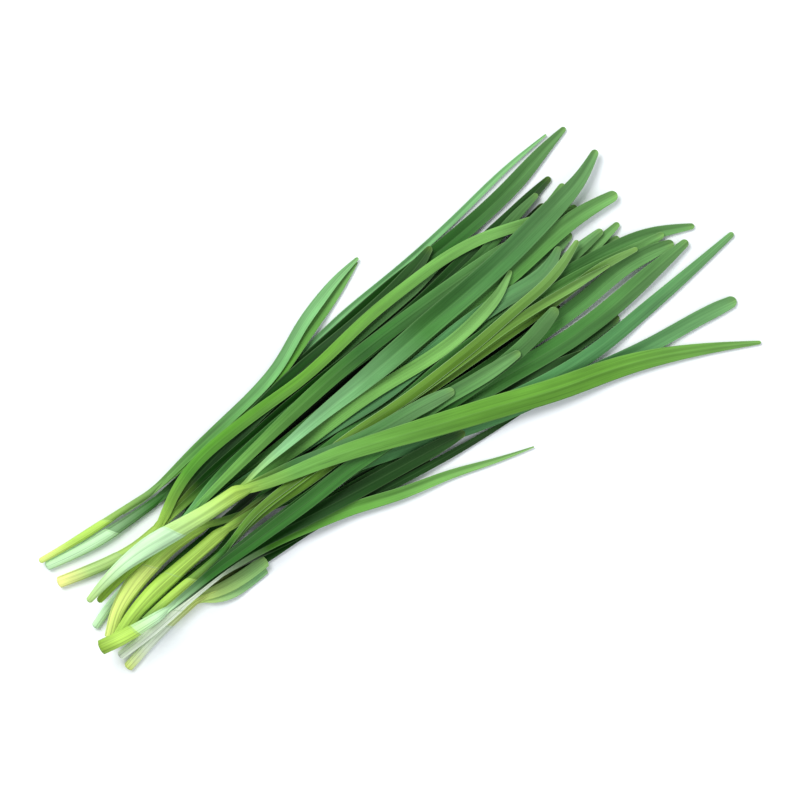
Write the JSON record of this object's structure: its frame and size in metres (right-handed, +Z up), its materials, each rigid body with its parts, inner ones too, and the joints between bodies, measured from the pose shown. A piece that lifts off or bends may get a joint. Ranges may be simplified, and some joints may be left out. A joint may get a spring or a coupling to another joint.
{
  "type": "bunch of garlic chives",
  "caption": "Loose bunch of flat-leaved garlic chives lying on a table, pale cut stems at one end and green strap leaves fanning out at the other.",
  "frame": {"origin": "on the table, under the middle of the bunch's bounding box", "axes": "+X along the bunch from the cut stems towards the leaf tips, +Y across it, +Z up from the table"},
  "size_m": [0.3034, 0.1218, 0.0214],
  "materials": {
    "shoot_under_left": "satin",
    "shoot_under_middle": "satin",
    "shoot_right_edge_low": "satin",
    "shoot_right_edge": "satin",
    "shoot_left_edge": "satin",
    "shoot_left_edge_slim": "satin",
    "shoot_yellow_stem": "satin",
    "shoot_olive_right": "satin",
    "shoot_mint_short": "satin",
    "shoot_thick_stem": "satin",
    "shoot_green_stem": "satin",
    "shoot_olive_left": "satin",
    "shoot_across_base": "satin",
    "shoot_mint_back": "satin",
    "shoot_mint_front": "satin"
  },
  "bodies": {
    "root": {"shoot_under_left": "shoot_under_left", "shoot_under_middle": "shoot_under_middle", "shoot_right_edge_low": "shoot_right_edge_low", "shoot_right_edge": "shoot_right_edge", "shoot_left_edge": "shoot_left_edge", "shoot_left_edge_slim": "shoot_left_edge_slim", "shoot_yellow_stem": "shoot_yellow_stem", "shoot_olive_right": "shoot_olive_right", "shoot_mint_short": "shoot_mint_short", "shoot_thick_stem": "shoot_thick_stem", "shoot_green_stem": "shoot_green_stem", "shoot_olive_left": "shoot_olive_left", "shoot_across_base": "shoot_across_base", "shoot_mint_back": "shoot_mint_back", "shoot_mint_front": "shoot_mint_front"}
  },
  "joints": []
}
